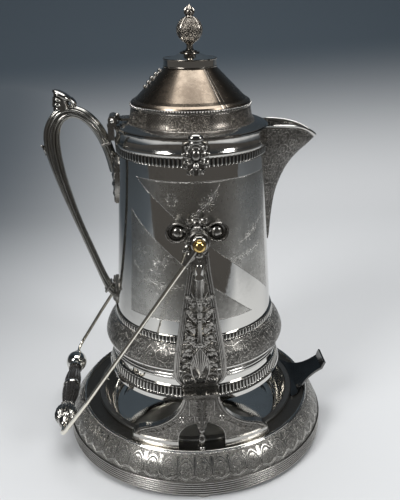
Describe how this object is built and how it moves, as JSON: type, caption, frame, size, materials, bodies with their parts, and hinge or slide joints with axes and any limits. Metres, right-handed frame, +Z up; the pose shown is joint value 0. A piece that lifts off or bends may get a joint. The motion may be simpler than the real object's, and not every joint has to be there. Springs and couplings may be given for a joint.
{
  "type": "tilting water pitcher on stand",
  "caption": "Silver-plated tilting water pitcher with hinged lid and spout, hung between openwork uprights on a round drip-tray stand with a swinging carrying bail.",
  "frame": {"origin": "on the floor under the middle of the round base, level with the undersides of the pad feet", "axes": "+Z up; +X towards the spout, so the handle is on -X; the two uprights and the pivots are on -Y and +Y"},
  "size_m": [0.3219, 0.3042, 0.4833],
  "materials": {
    "cast_silver": "tarnished cast relief",
    "engraved_silver": "satin with engraving",
    "bright_silver": "polished",
    "brown_silver": "satin, toned brown",
    "inner_metal": "plain",
    "rod_silver": "polished rod",
    "worn_brass": "worn through to brass",
    "ebonised_wood": "black, polished"
  },
  "bodies": {
    "stand": {"base_pan": "engraved_silver", "reeded_edge": "engraved_silver", "drip_dish": "bright_silver", "foot_front": "engraved_silver", "foot_back": "engraved_silver", "foot_spout": "engraved_silver", "foot_handle": "engraved_silver", "bracket_front": "cast_silver", "bracket_back": "cast_silver", "strap_front": "cast_silver", "strap_back": "cast_silver", "post_front": "cast_silver", "post_back": "cast_silver", "upright_front": "cast_silver", "upright_back": "cast_silver", "pivot_stud_front": "rod_silver", "pivot_stud_back": "rod_silver", "pivot_knob_front": "worn_brass", "pivot_knob_back": "worn_brass", "cup_rest": "cast_silver"},
    "pitcher": {"foot_ring": "bright_silver", "bottom_plate": "inner_metal", "foot_band": "bright_silver", "waist_moulding": "bright_silver", "bulge_band": "engraved_silver", "lower_band": "bright_silver", "body_shell": "engraved_silver", "upper_band": "bright_silver", "rim_collar": "bright_silver", "liner": "inner_metal", "spout": "engraved_silver", "handle": "cast_silver", "thumb_piece": "cast_silver", "handle_leaf_upper": "cast_silver", "handle_leaf_lower": "cast_silver", "trunnion_front": "cast_silver", "trunnion_back": "cast_silver", "rim_ornament_front": "cast_silver", "rim_ornament_back": "cast_silver", "hinge_bracket": "cast_silver", "hinge_pin": "bright_silver"},
    "lid": {"lid_drum": "engraved_silver", "lid_bead_band": "engraved_silver", "lid_cone": "brown_silver", "lid_cap": "bright_silver", "finial": "cast_silver", "finial_nut": "inner_metal", "lid_liner": "inner_metal", "lid_leaf": "cast_silver", "lid_ornament": "cast_silver"},
    "bail": {"bail_eye_front": "cast_silver", "bail_eye_back": "cast_silver", "bail_arm_front": "rod_silver", "bail_arm_back": "rod_silver", "grip_spindle": "rod_silver"},
    "grip": {"grip_barrel_front": "ebonised_wood", "grip_barrel_back": "ebonised_wood", "grip_ball_front": "bright_silver", "grip_ball_back": "bright_silver", "grip_ring": "bright_silver"}
  },
  "joints": [
    {"name": "pitcher_tilt", "type": "hinge", "parent": "stand", "child": "pitcher", "pos_m": [0, 0, 0.273], "axis": [0, 1, 0], "range_deg": [0, 75]},
    {"name": "lid_hinge", "type": "hinge", "parent": "pitcher", "child": "lid", "pos_m": [-0.082, 0, 0.372], "axis": [0, -1, 0], "range_deg": [0, 85]},
    {"name": "bail_swing", "type": "hinge", "parent": "stand", "child": "bail", "pos_m": [0, 0, 0.273], "axis": [0, 1, 0], "range_deg": [0, 280]},
    {"name": "grip_spin", "type": "hinge", "parent": "bail", "child": "grip", "pos_m": [-0.151, 0, 0.047], "axis": [0, 1, 0], "continuous": true}
  ]
}
